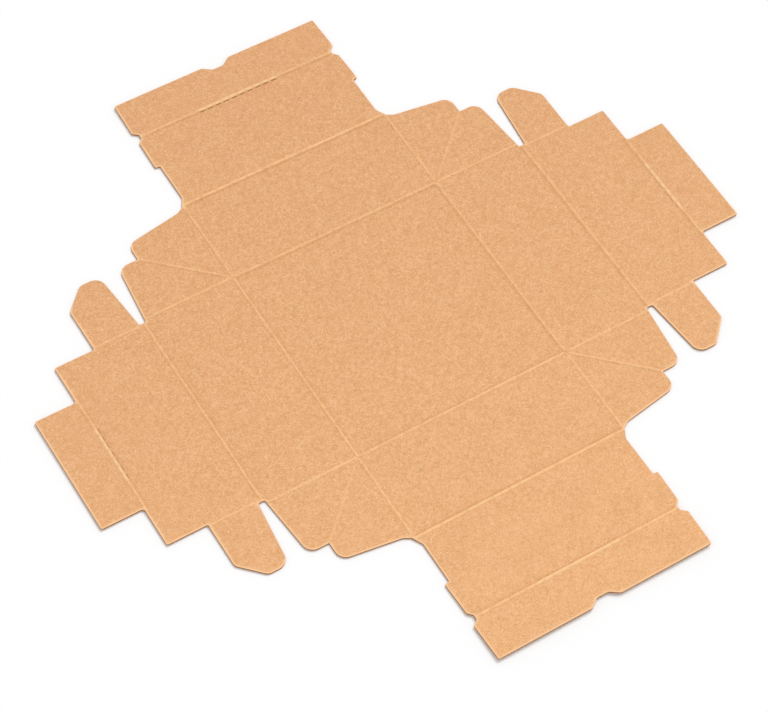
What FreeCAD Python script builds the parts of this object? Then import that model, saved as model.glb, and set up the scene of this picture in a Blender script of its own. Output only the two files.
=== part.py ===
import FreeCAD, Part
import math
import os

# Flat blank of a square self-locking tray, die-cut and creased from one sheet of kraft card.
# Folded up, every wall doubles over and its strip comes to lie on the floor. Millimetres.
# The origin is the middle of the base panel, on the underside. A plain arm runs along +Y and
# -Y, a tabbed arm along +X and -X. Creases stand as ridges on the upper face.

# Card
card = 0.6                 # thickness
corner_round = 0.6         # bend of the cutting rule in every square corner
arc_share = 0.48           # most of a side that the arc at one of its ends may take

# Panels, outwards from the middle
panel = 86.0               # square base panel, crease to crease
plain_wall = 36.7          # outer wall, from the base crease to the rim crease
plain_lining = 35.3        # wall that rolls back down inside, from rim crease to floor crease
plain_strip = 17.0         # strip that lies on the floor, from the floor crease to the end
tabbed_wall = 37.0
tabbed_lining = 35.5
tabbed_strip = 16.5

# Side of a plain arm
lining_inset = 1.5         # lining inside the base edge, so that it slides down between the walls
inset_run = 3.3            # length over which the side comes in by that much
lock_start = 19.8          # rim crease to the step that catches the tab
lock_step = 1.9            # how far the step stands out
lock_taper = 0.4           # the edge comes in by this much from the step to the waist
waist_half = 2.6           # half the length of the notch at the floor crease
waist_flat = 0.9           # half the length of its bottom
waist_depth = 1.7
strip_overhang = 0.4       # strip wider than the base, on each side
strip_taper = 0.4          # the strip comes in by this much at its end

# Finger notch in the end of a plain arm
notch_mouth = 11.5
notch_bottom = 4.6
notch_depth = 2.5
notch_round = 2.2

# Side of a tabbed arm
lining_drop = 2.6          # free edge of the lining inside the base edge
strip_width = 48.5
strip_shift = 0.4          # the sides of the strip start this far past the floor crease
strip_round = 1.2          # in the corner where they start

# Tab
tab_drop = 2.0             # tab crease inside the base edge
tab_length = 25.8          # crease to tip
tab_width = 20.3           # rim crease to the tab's outer side
tab_root = 1.6             # rim crease to the slit side at the root
tab_lean = 2.6             # the slit side leans out by this much up to the tip
tab_cut = 8.3              # cut off the outer corner, along both sides
tab_tip_round = 4.6
tab_cut_round = 3.0

# Web that joins two outer walls
web_drop = 2.1             # web edge inside the rim crease of the plain arm
web_slope = 3.2            # length of the slope down from that crease to the edge
web_lean = 3.4             # the edge leans in by this much along its length
web_side_lean = 2.6        # the same along the slit
cusp_from_plain = 12.9     # cusp between the two lobes, inside the rim crease of each arm
cusp_from_tabbed = 11.4
lobe_round = 6.0           # lobe beside the plain arm
side_lobe_round = 4.8      # lobe beside the slit

# Slit between web and tab
slit_web_side = 1.0        # rim crease to the web at the closed end
slit_drop = 1.3            # closed end inside the base edge
slit_round = 0.8

# Creases: a ridge on the upper face over a groove of the same section in the underside
ridge_width = 1.3
ridge_height = 0.25
rule_gap = 0.9             # a crease stops this far from one that it meets
diagonal_start = 1.5       # the crease of the web stops this far from the base corner
diagonal_stop = 0.9        # and from the cusp

# Knife cuts along the middle third of each floor crease, which help it to turn a right angle
cut_length = 2.0
cut_pitch = 3.4
cut_width = 0.2
cut_shift = 0.85           # the knife runs this far inside the top of the ridge, at its foot
plain_cuts = 10
tabbed_cuts = 7

# Lines that follow from the sizes
base = panel / 2
plain_rim = base + plain_wall
plain_floor = plain_rim + plain_lining
plain_end = plain_floor + plain_strip
tabbed_rim = base + tabbed_wall
tabbed_floor = tabbed_rim + tabbed_lining
tabbed_end = tabbed_floor + tabbed_strip
lining_side = base - lining_inset
lock_side = lining_side + lock_step
waist_start = lock_side - lock_taper
waist_side = waist_start - waist_depth
strip_side = base + strip_overhang
lining_edge = base - lining_drop
strip_start = tabbed_floor + strip_shift
strip_edge = strip_width / 2
tab_crease = base - tab_drop
tab_tip = tab_crease + tab_length
tab_side = tabbed_rim + tab_width
slit_end = base - slit_drop
slit_tab_side = tabbed_rim + tab_root
web_top = plain_rim - web_drop
web_side = tabbed_rim - slit_web_side
cusp_x = tabbed_rim - cusp_from_tabbed
cusp_y = plain_rim - cusp_from_plain


def point(x, y, z=0.0):
    return FreeCAD.Vector(x, y, z)


def plain_arm_side():
    """Corners (x, y, radius) from the middle of the end of the +Y arm in to its rim crease."""
    return [
        (notch_bottom / 2, plain_end - notch_depth, notch_round),
        (notch_mouth / 2, plain_end, notch_round),
        (strip_side - strip_taper, plain_end, corner_round),
        (strip_side, plain_floor + waist_half, corner_round),
        (waist_side, plain_floor + waist_flat, corner_round),
        (waist_side, plain_floor - waist_flat, corner_round),
        (waist_start, plain_floor - waist_half, corner_round),
        (lock_side, plain_rim + lock_start, corner_round),
        (lining_side, plain_rim + lock_start, corner_round),
        (lining_side, plain_rim + inset_run, corner_round),
    ]


def web_edge():
    """Corners of the web, from the rim crease of the +Y arm round to the closed end of the slit."""
    return [
        (base + corner_round, plain_rim - corner_round, corner_round),
        (base + web_slope, web_top, web_slope),
        (cusp_x, web_top - web_lean, lobe_round),
        (cusp_x, cusp_y, 0.0),
        (web_side - web_side_lean, cusp_y, side_lobe_round),
        (web_side, slit_end, slit_round),
    ]


def tabbed_arm_side():
    """Corners of the tab and of the +X arm, from the slit out to the end of the arm."""
    return [
        (slit_tab_side, slit_end, slit_round),
        (slit_tab_side + tab_lean, tab_tip, tab_tip_round),
        (tab_side - tab_cut, tab_tip, tab_cut_round),
        (tab_side, tab_tip - tab_cut, tab_cut_round),
        (tab_side, lining_edge, corner_round),
        (strip_start, lining_edge, corner_round),
        (strip_start, strip_edge, strip_round),
        (tabbed_end, strip_edge, corner_round),
    ]


def rounded_wire(corners):
    """Closed wire through the corners, each turned by an arc that touches both its lines."""
    starts = []
    ends = []
    edges = []
    for i, (x, y, radius) in enumerate(corners):
        here = point(x, y)
        back = point(*corners[i - 1][:2]) - here
        ahead = point(*corners[(i + 1) % len(corners)][:2]) - here
        half_angle = back.getAngle(ahead) / 2
        shorter_side = min(back.Length, ahead.Length)
        reach = min(radius / math.tan(half_angle), arc_share * shorter_side)
        back.normalize()
        ahead.normalize()
        starts.append(here + back * reach)
        ends.append(here + ahead * reach)
        if reach > 0:
            inwards = (back + ahead).normalize()
            depth = reach * (1 / math.cos(half_angle) - math.tan(half_angle))
            edges.append(Part.Arc(starts[i], here + inwards * depth, ends[i]).toShape())
    for i in range(len(corners)):
        edges.append(Part.LineSegment(ends[i - 1], starts[i]).toShape())
    return Part.Wire(Part.__sortEdges__(edges))


def outline():
    """A quarter of the outline, repeated in all four quarters, each turned over at an axis."""
    quarter = plain_arm_side() + web_edge() + tabbed_arm_side()
    corners = []
    for sx, sy, order in ((1, 1, 1), (1, -1, -1), (-1, -1, 1), (-1, 1, -1)):
        corners += [(sx * x, sy * y, radius) for x, y, radius in quarter][::order]
    return rounded_wire(corners)


def crease_lines():
    """Both ends of every crease. One that runs out over an edge is drawn past it."""
    stop = base - rule_gap
    past = rule_gap
    lines = []
    for side in (1, -1):
        lines += [
            ((-stop, side * base), (stop, side * base)),
            ((-base - past, side * plain_rim), (base + past, side * plain_rim)),
            ((-base - past, side * plain_floor), (base + past, side * plain_floor)),
            ((side * base, -stop), (side * base, stop)),
            ((side * tabbed_rim, -slit_end - past), (side * tabbed_rim, slit_end + past)),
            ((side * tabbed_floor, -strip_edge - past), (side * tabbed_floor, strip_edge + past)),
        ]
    length = math.hypot(cusp_x - base, cusp_y - base)
    run_x = (cusp_x - base) / length
    run_y = (cusp_y - base) / length
    near = diagonal_start
    far = length - diagonal_stop
    for sx in (1, -1):
        for sy in (1, -1):
            for (ax, ay), (bx, by) in (
                ((base, base + rule_gap), (base, plain_rim - rule_gap)),
                ((base + rule_gap, base), (tabbed_rim, base)),
                ((base + near * run_x, base + near * run_y), (base + far * run_x, base + far * run_y)),
                ((tabbed_rim + rule_gap, tab_crease), (tab_side + past, tab_crease)),
            ):
                lines.append(((sx * ax, sy * ay), (sx * bx, sy * by)))
    return lines


def crease_rod(start, end, level):
    """Round rod along a crease, sunk until only the ridge's section stands above the level."""
    radius = (ridge_width ** 2 / 4 + ridge_height ** 2) / (2 * ridge_height)
    axis_height = level + ridge_height - radius
    a = point(start[0], start[1], axis_height)
    b = point(end[0], end[1], axis_height)
    return Part.makeCylinder(radius, (b - a).Length, a, b - a)


def knife_cut(x, y, length_x, length_y):
    corner = point(x - length_x / 2, y - length_y / 2)
    return Part.makeBox(length_x, length_y, card + 2 * ridge_height, corner)


def knife_cuts():
    """Cuts through the card, spread evenly about the middle of each floor crease."""
    cuts = []
    for side in (1, -1):
        for i in range(plain_cuts):
            x = (i - (plain_cuts - 1) / 2) * cut_pitch
            cuts.append(knife_cut(x, side * (plain_floor - cut_shift), cut_length, cut_width))
        for i in range(tabbed_cuts):
            y = (i - (tabbed_cuts - 1) / 2) * cut_pitch
            cuts.append(knife_cut(side * (tabbed_floor - cut_shift), y, cut_width, cut_length))
    return cuts


def blank():
    """The sheet with its grooves pressed in, the ridges over them, and the knife cuts."""
    face = Part.Face(outline())
    sheet = face.extrude(point(0, 0, card))
    above = face.extrude(point(0, 0, 2 * ridge_height))
    above.translate(point(0, 0, card))
    lines = crease_lines()
    grooves = [crease_rod(start, end, 0.0) for start, end in lines]
    ridges = [crease_rod(start, end, card).common(above) for start, end in lines]
    return sheet.cut(grooves).fuse(ridges).cut(knife_cuts()).removeSplitter()


os.makedirs("parts", exist_ok=True)
shape = blank().Solids[0]
shape.exportStep("parts/box_blank.step")
print("valid", shape.isValid(), "volume", round(shape.Volume, 1), shape.BoundBox)
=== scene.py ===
import bpy
import math
import numpy as np
from mathutils import Euler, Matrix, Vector
from mathutils.geometry import delaunay_2d_cdt


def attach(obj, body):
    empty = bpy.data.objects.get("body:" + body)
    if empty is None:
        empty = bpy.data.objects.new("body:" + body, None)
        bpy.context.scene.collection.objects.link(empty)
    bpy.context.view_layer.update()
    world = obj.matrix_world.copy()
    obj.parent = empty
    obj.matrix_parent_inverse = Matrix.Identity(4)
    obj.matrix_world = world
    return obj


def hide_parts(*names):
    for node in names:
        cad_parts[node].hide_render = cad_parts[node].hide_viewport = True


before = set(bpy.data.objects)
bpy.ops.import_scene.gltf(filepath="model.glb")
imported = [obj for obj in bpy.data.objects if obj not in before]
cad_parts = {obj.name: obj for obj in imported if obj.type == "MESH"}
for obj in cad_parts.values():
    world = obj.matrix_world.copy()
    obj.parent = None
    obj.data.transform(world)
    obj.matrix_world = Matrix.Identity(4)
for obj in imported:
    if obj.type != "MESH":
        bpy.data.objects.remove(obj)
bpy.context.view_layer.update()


# Card sheet
# The real piece is the flat blank of a small square tray: brown kraft card of 0.6 mm, cut and
# creased in one stroke on a flat-bed press. The bed's grooves let each creasing rule push the card
# up into a ridge on this side. Since then the four arms have sprung up a little.

# Millimetres: thickness, then the lines from the middle outwards.
card = 0.6
base = 43.0
plain_rim, plain_floor = 79.7, 115.0
tabbed_rim, tabbed_floor = 80.0, 115.5
tab_crease = 41.0
cusp = np.array([68.6, 66.8])
over_arms = 264.0

# One quarter of the outline, in millimetres, as (x, y, radius of the corner).
plain_arm = [
    (2.3, 129.5, 2.2), (5.75, 132.0, 2.2), (43.0, 132.0, 0.6), (43.4, 117.6, 0.6),
    (41.3, 115.9, 0.6), (41.3, 114.1, 0.6), (43.0, 112.4, 0.6), (43.4, 99.5, 0.6),
    (41.5, 99.5, 0.6), (41.5, 83.0, 0.6),
]
web = [
    (43.6, 79.1, 0.6), (46.2, 77.6, 3.2), (68.6, 74.2, 6.0), (68.6, 66.8, 0.0),
    (76.4, 66.8, 4.8), (79.0, 41.7, 0.8),
]
tab_and_arm = [
    (81.6, 41.7, 0.8), (84.2, 66.8, 4.6), (92.0, 66.8, 3.0), (100.3, 58.5, 3.0),
    (100.3, 40.4, 0.6), (115.9, 40.4, 0.6), (115.9, 24.25, 1.2), (132.0, 24.25, 0.6),
]


def unit(v):
    return v / np.linalg.norm(v, axis=-1, keepdims=True)


def all_quarters(quarter):
    """The quarter's corners, then the same turned over at one axis, at both and at the other."""
    signs = [(1, 1, 1), (1, -1, 1), (-1, -1, 1), (-1, 1, 1)]
    return np.vstack([(quarter * s)[::t] for s, t in zip(signs, (1, -1, 1, -1))])[::-1]


def rounded(corners, per_arc=9):
    """Each corner becomes an arc that touches both its sides. Its ends lie radius / tan(half the
    corner's angle) from the corner. A point on it is the centre plus the arms from there to both
    ends, weighted by the sines of the angle left and the angle done."""
    p, radius = corners[:, :2], corners[:, 2]
    to_last, to_next = np.roll(p, 1, 0) - p, np.roll(p, -1, 0) - p
    shorter = np.minimum(np.linalg.norm(to_last, axis=1), np.linalg.norm(to_next, axis=1))
    u, v = unit(to_last), unit(to_next)
    half = np.arccos(np.clip((u * v).sum(1), -1, 1)) / 2
    reach = np.minimum(radius / np.tan(half), 0.48 * shorter)[:, None]
    centre = p + unit(u + v) * reach / np.cos(half)[:, None]
    first, last = p + u * reach - centre, p + v * reach - centre
    sweep = (math.pi - 2 * half)[:, None, None]
    t = np.linspace(0, 1, per_arc)[None, :, None]
    arms = np.sin((1 - t) * sweep) * first[:, None] + np.sin(t * sweep) * last[:, None]
    loop = (centre[:, None] + arms / np.sin(sweep)).reshape(-1, 2)
    return loop[np.linalg.norm(loop - np.roll(loop, 1, 0), axis=1) > 1e-6]


def divided(loop, step):
    """Every side of the loop is cut into equal parts no longer than the step."""
    side = np.roll(loop, -1, 0) - loop
    count = np.ceil(np.linalg.norm(side, axis=1) / step).astype(int)
    start = np.repeat(np.cumsum(count) - count, count)
    share = (np.arange(count.sum()) - start) / np.repeat(count, count)
    return np.repeat(loop, count, 0) + np.repeat(side, count, 0) * share[:, None]


def mitre(before, here, after):
    """For a loop with its inside on the left, how far a point moves per unit that the loop grows:
    the sum of both sides' normals over 1 + their dot product."""
    d = unit(np.stack([here - before, after - here]))
    n = np.stack([d[..., 1], -d[..., 0]], -1)
    return n.sum(0) / (1 + (n[0] * n[1]).sum(-1, keepdims=True))


def grown(loop, by):
    return loop + by * mitre(np.roll(loop, 1, 0), loop, np.roll(loop, -1, 0))


def distance(points, lines):
    """Distance to the nearest line (x, y, x, y): the foot of each point is held to its ends."""
    starts, runs = lines[:, :2], lines[:, 2:] - lines[:, :2]
    nearest = []
    for p in np.array_split(points, len(points) // 1500 + 1):
        to = p[:, None] - starts
        foot = np.clip((to * runs).sum(-1) / (runs ** 2).sum(-1), 0, 1)
        nearest.append(np.linalg.norm(to - foot[..., None] * runs, axis=-1).min(1))
    return np.concatenate(nearest)


def strip(line, step, across):
    """A grid of points over a line and round its ends, one row for each distance across it."""
    a, b = line[:2], line[2:]
    run, length = unit(b - a), np.linalg.norm(b - a)
    ends = across[across > 0]
    along = np.concatenate([-ends, np.linspace(0, length, round(length / step)), length + ends])
    left = np.array([-run[1], run[0]])
    return (a + along[:, None, None] * run + across[:, None] * left).reshape(-1, 2)


outline = rounded(all_quarters(np.array(plain_arm + web + tab_and_arm)))

# Creases as (x, y, x, y). They stop short of the ones that they meet, and run out over an edge.
run = unit(cusp - base)
panel_creases = np.array([
    (-42.1, base, 42.1, base), (-43.9, plain_rim, 43.9, plain_rim),
    (-43.9, plain_floor, 43.9, plain_floor), (base, -42.1, base, 42.1),
    (tabbed_rim, -42.6, tabbed_rim, 42.6), (tabbed_floor, -25.2, tabbed_floor, 25.2),
])
corner_creases = np.array([
    (base, 43.9, base, 78.8), (43.9, base, tabbed_rim, base),
    (*(base + 1.5 * run), *(cusp - 0.9 * run)), (80.9, tab_crease, 101.2, tab_crease),
])
flips = [(1, 1, 1, 1), (1, -1, 1, -1), (-1, 1, -1, 1), (-1, -1, -1, -1)]
creases = np.vstack([panel_creases, -panel_creases, *(corner_creases * f for f in flips)])

# On the side towards the middle, the foot of every ridge between panels is pressed in, 1 mm away.
inwards = np.repeat([(0, 1, 0, 1), (1, 0, 1, 0)], 3, axis=0)
feet = np.vstack([panel_creases - inwards, inwards - panel_creases])

# Slits at the foot of the floor creases, as (x, y, x, y), on the +Y, -Y, +X and -X arm. With each
# go the way out from it, and how far it has sprung open, most on the +Y arm.
slit_length, slit_pitch, slit_inset = 2.0, 3.4, 0.85
per_arm = [10, 10, 7, 7]
along = (np.arange(10) - 4.5)[:, None] * slit_pitch + [-slit_length / 2, slit_length / 2]
level = np.full(10, plain_floor - slit_inset)
plain_slits = np.column_stack([along[:, 0], level, along[:, 1], level])
along = (np.arange(7) - 3.0)[:, None] * slit_pitch + [-slit_length / 2, slit_length / 2]
level = np.full(7, tabbed_floor - slit_inset)
tabbed_slits = np.column_stack([level, along[:, 0], level, along[:, 1]])
slits = np.vstack([plain_slits, -plain_slits, tabbed_slits, -tabbed_slits])
slit_outwards = np.repeat([(0, 1), (0, -1), (1, 0), (-1, 0)], per_arm, axis=0)
slit_opening = np.repeat([0.75, 0.25, 0.2, 0.6], per_arm)

# The middle of each floor crease, where the slits are.
slit_rows = np.array([
    (-18, plain_floor, 18, plain_floor), (-18, -plain_floor, 18, -plain_floor),
    (tabbed_floor, -13, tabbed_floor, 13), (-tabbed_floor, -13, -tabbed_floor, 13),
])


def ripple(x, y, length, turn):
    """Slow, even waves from -1 to 1: the product of two sines along axes that are turned."""
    c, s = math.cos(turn), math.sin(turn)
    u, v = (c * x + s * y) / length, (c * y - s * x) / length
    return np.sin(math.tau * u + 1.3) * np.sin(math.tau * v * 0.71 + 0.4)


def spring(x, y):
    """Height of the underside over the table. Each arm lifts with the cube of the way out from
    its base crease, to 0.3 or 0.7 mm at its end, and the panels are a little wavy."""
    arm, lift = over_arms / 2 - base, 0
    for way, height in ((y, 0.3), (-y, 0.7), (x, 0.3), (-x, 0.3)):
        lift = lift + height * (np.maximum(0, way - base) / arm) ** 3
    return lift + 0.05 * (1 + ripple(x, y, 61, 0.5)) + 0.025 * (1 + ripple(x, y, 23, 1.9))


def bell(d, reach):
    """(1 - (distance / reach) squared) squared: one in the middle, level where it ends."""
    return np.clip(1 - (d / reach) ** 2, 0, 1) ** 2


# Lips of a slit: how far they stand up or hang down, and how wide they are, also of the band of
# painted highlight on the ridge outside, and how far from the middle of the slit they end.
outer_rise, outer_width = 0.18, 1.3
inner_drop, inner_width = 0.08, 0.9
highlight_middle, highlight_reach = 0.8, 1.05
past_end = 1.6


def lips(points):
    """At a slit the card has sprung apart. The first value is the height: the outer lip stands up
    and the inner lip is down, by their share of the opening and the square of what is left of
    their width. The others, from 0 to 1, are how far a point is on the ridge outside the slit,
    which gets a painted highlight, and on the inner lip, which gets painted shade. Along the slit
    all fade by one minus the fourth power of the way to just past its end."""
    middle, run = (slits[:, :2] + slits[:, 2:]) / 2, unit(slits[:, 2:] - slits[:, :2])
    to = points[:, None] - middle
    out = (to * slit_outwards).sum(-1)
    share = np.clip(1 - (np.abs((to * run).sum(-1)) / past_end) ** 4, 0, 1)
    rise = slit_opening * share * (out > 0) * np.clip(1 - out / outer_width, 0, 1) ** 2
    outer = share * (out > 0) * bell(out - highlight_middle, highlight_reach)
    inner = slit_opening * share * (out < 0) * np.clip(1 + out / inner_width, 0, 1) ** 2
    return (outer_rise * rise - inner_drop * inner).sum(1), outer.sum(1), inner.sum(1)


# The sheet in plan: its edge, the slits, rows of points beside the edge and over the creases, and
# a lattice over the panels. Points that would crowd finer ones are left out. Round the edge the
# arris of the cut is worn to 0.07 mm. On the slits it is sharper.
arris, slit_arris, slit_half = 0.07, 0.03, 0.08 * slit_opening[:, None]
edge_step, lattice_step = 2.5, 2.6
edge = divided(grown(outline, -arris), edge_step)
reach = np.abs(slits[:, 2:] - slits[:, :2]) / 2 + slit_half + slit_arris
turns = [(1, 1), (1, -1), (-1, -1), (-1, 1)]
boxes = (slits[:, :2] + slits[:, 2:])[:, None] / 2 + reach[:, None] * turns
loops = [edge, *(divided(box, 0.5) for box in boxes)]
sides = np.vstack([np.column_stack([loop, np.roll(loop, -1, 0)]) for loop in loops])
across = np.array([-1.5, -1.2, -0.9, -0.7, -0.5, -0.25, 0.0, 0.25, 0.5, 0.7, 0.9, 1.2, 1.5])
over_creases = np.vstack([strip(line, 2.0, across) for line in creases])
over_creases = over_creases[distance(over_creases, slit_rows) > 1.6]
over_slits = np.vstack([strip(line, 0.5, across) for line in slit_rows])
over_creases = np.vstack([over_creases, over_slits])
over_creases = over_creases[distance(over_creases, sides) > 0.12]
rows = [divided(grown(outline, -arris - d), edge_step) for d in (0.3, 0.6, 0.9)]
beside_edge = np.vstack(rows)
clear = (distance(beside_edge, creases) > 1.6) & (distance(beside_edge, sides) > 0.2)
beside_edge = beside_edge[clear]
steps = np.arange(-130, 131, lattice_step)
lattice = np.stack(np.meshgrid(steps, steps), -1).reshape(-1, 2)
lattice = lattice[(distance(lattice, creases) > 2.0) & (distance(lattice, sides) > 1.4)]

counts = np.cumsum([0] + [len(loop) for loop in loops])
rings = [list(range(a, b)) for a, b in zip(counts, counts[1:])]
plan = np.vstack([*loops, beside_edge, over_creases, lattice])
found = delaunay_2d_cdt([Vector(p) for p in plan], [], rings, 2, 1e-5)
used, triangles = np.unique(np.array([t[:3] for t in found[2]]), return_inverse=True)
plan, triangles = np.array([p[:] for p in found[0]])[used], triangles.reshape(-1, 3)

# The rim of the plan is every side that only one triangle has, with the card on its left.
n = len(plan)
pairs = triangles[:, [0, 1, 1, 2, 2, 0]].reshape(-1, 2)
rim = pairs[~np.isin(pairs @ [n, 1], pairs @ [1, n])]
rim = rim[np.argsort(rim[:, 0])]
following = np.searchsorted(rim[:, 0], rim[:, 1])
here = plan[rim[:, 0]]
outwards = mitre(here[np.argsort(following)], here, here[following])

# Over the floor, the underside stands at the height of the spring. The ridge is a bell of 0.25 mm
# that varies along the crease, where the rule bit more or less. Its foot is a shallow hollow.
# The hollow is deeper at the rims of the plain arms, which fold right over, and shallower in the
# creases along Y, which run with the grain of the card, and in the diagonals of the webs.
ridge_half, ridge_height, ridge_waver = 0.75, 0.225, 0.025
foot_half, foot_depth = 0.6, 0.04
crest = bell(distance(plan, creases), ridge_half)
foot = bell(distance(plan, feet), foot_half)
plain_rims, not_along_x = creases[[1, 7]], creases[creases[:, 1] != creases[:, 3]]
pressed = 1 + 0.5 * bell(distance(plan, plain_rims), 2.5)
pressed = pressed - 0.35 * bell(distance(plan, not_along_x), 2.5)
rise, outer_lip, inner_lip = lips(plan)
ridge = crest * (ridge_height + ridge_waver * ripple(*plan.T, 13, 0.9))
height = spring(*plan.T) + ridge - foot_depth * foot * pressed
height = np.maximum(0, height + rise)
under, over = np.column_stack([plan, height]), np.column_stack([plan, height + card])

# Three rings of points go round the rim between the upper and the lower face: over the rounded
# arris, and down the cut.
m = len(rim)
low, high = height[rim[:, 0]], height[rim[:, 0]] + card
edge_sides = np.column_stack([edge, np.roll(edge, -1, 0)])
bevel = np.where(distance(here, edge_sides) < 0.01, arris, slit_arris)
out = bevel[:, None] * outwards
cut_rings = [
    np.column_stack([here + 0.7 * out, high - 0.3 * bevel]),
    np.column_stack([here + out, high - bevel]),
    np.column_stack([here + out, low + 0.6 * bevel]),
]
numbers = [rim[:, 0], *(2 * n + k * m + np.arange(m) for k in range(3)), n + rim[:, 0]]
walls = [np.column_stack([a[following], a, b, b[following]]) for a, b in zip(numbers, numbers[1:])]
faces = triangles.tolist() + (triangles[:, ::-1] + n).tolist() + np.vstack(walls).tolist()

mesh = bpy.data.meshes.new("card_sheet")
mesh.from_pydata((np.vstack([over, under, *cut_rings]) / 1000).tolist(), [], faces)
mesh.update()
mesh.shade_smooth()
sheet = bpy.data.objects.new("card_sheet", mesh)
bpy.context.scene.collection.objects.link(sheet)

# Numbers at every point for the material: how far it is on a ridge, on its foot, on the lips of a
# slit, beside an edge with a painted highlight and in the cut, and how far along from the +Y arm to
# the -Y arm, for painted light that makes the card lighter there. The ridges of the -Y arm get a
# stronger painted highlight, and the edges that face -X and -Y get a painted highlight.
front_highlight = 1 + 0.5 * np.clip(-plan[:, 1] / plain_floor, 0, 1)
# Painted highlight: a pale rim along the edges that face -X and -Y.
side_runs = edge_sides[:, 2:] - edge_sides[:, :2]
highlit_sides = edge_sides[side_runs @ [0.8, -0.6] > 0]
notes = {
    "crest": crest * pressed * front_highlight, "foot": foot * pressed,
    "outer_lip": outer_lip, "inner_lip": inner_lip,
    "painted_edge_highlight": bell(distance(plan, highlit_sides), 0.9), "cut_face": np.zeros(n),
    "painted_light_to_front": (0.5 - plan[:, 1] / over_arms) ** 1.5,
}
for name, values in notes.items():
    on_rings = np.repeat([0.4, 1, 1], m) if name == "cut_face" else np.tile(values[rim[:, 0]], 3)
    values = np.concatenate([values, values, on_rings]).astype(np.float32)
    mesh.attributes.new(name, "FLOAT", "POINT").data.foreach_set("value", values)

# Uncoated brown kraft card, calendered: unbleached softwood fibres lie in every direction in the
# face. They give it fine pale and dark curled flecks, slow clouds of redder and yellower brown,
# and a dull face with hardly any gloss.


def linear(code):
    """An sRGB hex colour as the linear colour that the shader takes."""
    s = np.array([int(code[k:k + 2], 16) for k in (0, 2, 4)]) / 255
    return (*np.where(s <= 0.04045, s / 12.92, ((s + 0.055) / 1.055) ** 2.4), 1.0)


def put(tree, kind, inputs, **settings):
    """Adds a node with its settings, and gives each input, by name or number, a value or a link."""
    made = tree.nodes.new("ShaderNode" + kind)
    for name, value in settings.items():
        setattr(made, name, value)
    for place, value in inputs.items():
        if isinstance(value, bpy.types.NodeSocket):
            tree.links.new(value, made.inputs[place])
        else:
            made.inputs[place].default_value = value
    return made


kraft = bpy.data.materials.new("kraft_card_calendered_and_die_cut")
kraft.use_nodes = True
tree = kraft.node_tree
tree.nodes.clear()
place = put(tree, "TexCoord", {}).outputs["Object"]


def curled_fibres(curl, width, shift):
    """Thin lines where a noise field passes its middle value. Its cells are as large as the
    fibre's curl, and a second field breaks the lines into lengths of two or three curls."""
    moved = put(tree, "Mapping", {"Vector": place, "Location": (shift, 2 * shift, 0)}).outputs[0]
    field = put(tree, "TexNoise", {"Vector": moved, "Scale": 1 / curl, "Detail": 1.0}).outputs[0]
    offset = put(tree, "Math", {0: field, 1: 0.5}, operation="SUBTRACT").outputs[0]
    off = put(tree, "Math", {0: offset}, operation="ABSOLUTE").outputs[0]
    line = put(tree, "MapRange", {"Value": off, "From Min": 0.3 * width / curl, "From Max": 0.0})
    gaps = put(tree, "TexNoise", {"Vector": moved, "Scale": 0.7 / curl, "Detail": 0.0}).outputs[0]
    kept = put(tree, "MapRange", {"Value": gaps, "From Min": 0.42, "From Max": 0.55}).outputs[0]
    return put(tree, "Math", {0: line.outputs[0], 1: kept}, operation="MULTIPLY").outputs[0]


# Real fibres are 0.03 mm wide. They are drawn 0.2 to 0.3 mm wide, to show at all.
pale_fibres = curled_fibres(0.0010, 0.00025, 0.1)
more_pale_fibres = curled_fibres(0.0014, 0.0002, 0.3)
dark_fibres = curled_fibres(0.0012, 0.00025, 0.5)
more_dark_fibres = curled_fibres(0.0009, 0.0002, 0.7)

# The grain between the fibres is 0.4 mm across, and the clouds are 12 mm.
grain = put(tree, "TexNoise", {"Vector": place, "Scale": 2300.0, "Detail": 2.0}).outputs[0]
dark_grain = put(tree, "MapRange", {"Value": grain, "From Min": 0.52, "From Max": 0.34}).outputs[0]
pale_grain = put(tree, "MapRange", {"Value": grain, "From Min": 0.5, "From Max": 0.68}).outputs[0]
clouds = put(tree, "TexNoise", {"Vector": place, "Scale": 80.0, "Detail": 3.0}).outputs[0]
yellower = put(tree, "MapRange", {"Value": clouds, "From Min": 0.38, "From Max": 0.62}).outputs[0]

noted = {}
for name in notes:
    noted[name] = put(tree, "Attribute", {}, attribute_name=name).outputs["Fac"]

# The bruised fibres on a ridge stand up in patches of 1.7 mm, which breaks its pale line of bruised
# fibres and painted highlight.
patches = put(tree, "TexNoise", {"Vector": place, "Scale": 600.0, "Detail": 3.0}).outputs[0]
patchy_crest = {"Value": patches, "From Min": 0.38, "From Max": 0.6, "To Min": 0.45, "To Max": 1.35}
patchy_crest = {0: noted["crest"], 1: put(tree, "MapRange", patchy_crest).outputs[0]}
noted["crest"] = put(tree, "Math", patchy_crest, operation="MULTIPLY").outputs[0]

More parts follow.
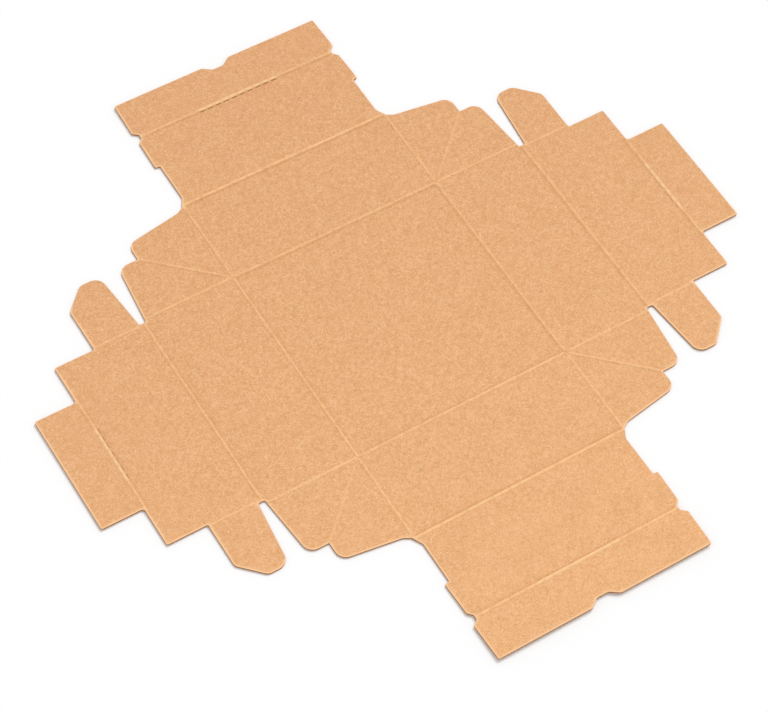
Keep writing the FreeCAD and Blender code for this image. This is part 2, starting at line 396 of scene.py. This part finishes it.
# Layers over the plain brown. Painted light makes the card a shade lighter towards the -Y arm.
# Over a ridge the fibres are bruised and paler, with a painted highlight on top. Beside the edges
# that face -X and -Y there is a painted highlight, and on the raised lip outside a slit the painted
# highlight is palest. The pressed foot of a ridge and the inner lip of a slit get painted shade,
# and the cut is a darker brown.
colour = linear("E1A575")
for share, most, code in (
    (noted["painted_light_to_front"], 1.0, "F5B982"), (yellower, 0.4, "E4AC75"),
    (dark_grain, 0.4, "C88F5A"), (pale_grain, 0.4, "FCCB9B"),
    (dark_fibres, 0.35, "C48A55"), (more_dark_fibres, 0.3, "C48A55"),
    (pale_fibres, 0.4, "FFD3A4"), (more_pale_fibres, 0.35, "FFD3A4"),
    (noted["foot"], 0.25, "C0834C"), (noted["inner_lip"], 0.45, "B8763C"),
    (noted["crest"], 0.6, "FBC890"), (noted["painted_edge_highlight"], 1.0, "FFD0A0"),
    (noted["outer_lip"], 0.65, "FFD3A0"), (noted["cut_face"], 1.0, "B06D30"),
):
    part = put(tree, "Math", {0: share, 1: most}, operation="MULTIPLY").outputs[0]
    layer = put(tree, "Mix", {0: part, 6: colour, 7: linear(code)}, data_type="RGBA")
    colour = layer.outputs[2]
height_of_fibres = put(tree, "Math", {0: pale_fibres, 1: grain}, operation="ADD").outputs[0]
relief = put(tree, "Bump", {"Height": height_of_fibres, "Strength": 0.4, "Distance": 0.00004})
face = put(tree, "BsdfPrincipled", {
    "Base Color": colour, "Roughness": 0.82, "Specular IOR Level": 0.25,
    "Normal": relief.outputs[0],
})
put(tree, "OutputMaterial", {"Surface": face.outputs[0]})
mesh.materials.append(kraft)

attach(sheet, "root")
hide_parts("box_blank")


# Studio: a white table, a soft lamp from behind on the right, and even light all round.
# On a level face lamp and surroundings add up to 1, so colours show as they are written.

table_mesh = bpy.data.meshes.new("studio_table")
table_mesh.from_pydata([(-3, -3, 0), (3, -3, 0), (3, 3, 0), (-3, 3, 0)], [], [(0, 1, 2, 3)])
table = bpy.data.objects.new("studio_table", table_mesh)
bpy.context.scene.collection.objects.link(table)
paper = bpy.data.materials.new("white_matt_paper_backdrop")
paper.use_nodes = True
paper.node_tree.nodes.clear()
matt = put(paper.node_tree, "BsdfDiffuse", {"Color": linear("FFFFFF")})
put(paper.node_tree, "OutputMaterial", {"Surface": matt.outputs[0]})
table_mesh.materials.append(paper)

lamp_share = 0.4
lamp_height, lamp_side = math.radians(50), math.radians(30)
lamp = bpy.data.lights.new("soft_lamp", "SUN")
lamp.energy = math.pi * lamp_share / math.sin(lamp_height)
lamp.angle = math.radians(35)
lamp_object = bpy.data.objects.new("soft_lamp", lamp)
lamp_object.rotation_euler = (math.pi / 2 - lamp_height, 0, lamp_side + math.pi / 2)
bpy.context.scene.collection.objects.link(lamp_object)

world = bpy.data.worlds.new("studio")
bpy.context.scene.world = world
world.use_nodes = True
air = world.node_tree
air.nodes.clear()
ray = put(air, "LightPath", {}).outputs
mirrored = {0: ray["Is Glossy Ray"], 1: ray["Is Transmission Ray"]}
seen = {0: ray["Is Camera Ray"], 1: put(air, "Math", mirrored, operation="MAXIMUM").outputs[0]}
seen = put(air, "Math", seen, operation="MAXIMUM")
around = put(air, "Background", {"Color": linear("FFFFFF"), "Strength": 1 - lamp_share})
backdrop = put(air, "Background", {"Color": linear("FFFFFF"), "Strength": 1.0})
both = put(air, "MixShader", {0: seen.outputs[0], 1: around.outputs[0], 2: backdrop.outputs[0]})
put(air, "OutputWorld", {"Surface": both.outputs[0]})

# Camera: 57 degrees above the table and 0.9 m away, turned so that the tabbed arms run from lower
# left to upper right.
lens = bpy.data.cameras.new("camera")
lens.sensor_width = 36.0
lens.lens = 119.094
lens.clip_end = 20.0
camera = bpy.data.objects.new("camera", lens)
camera.location = (-0.298212, -0.407005, 0.750069)
camera.rotation_euler = Euler([math.radians(v) for v in (32.9010, -2.7235, -31.6076)])
bpy.context.scene.collection.objects.link(camera)
bpy.context.scene.camera = camera
bpy.context.scene.view_settings.view_transform = "Standard"
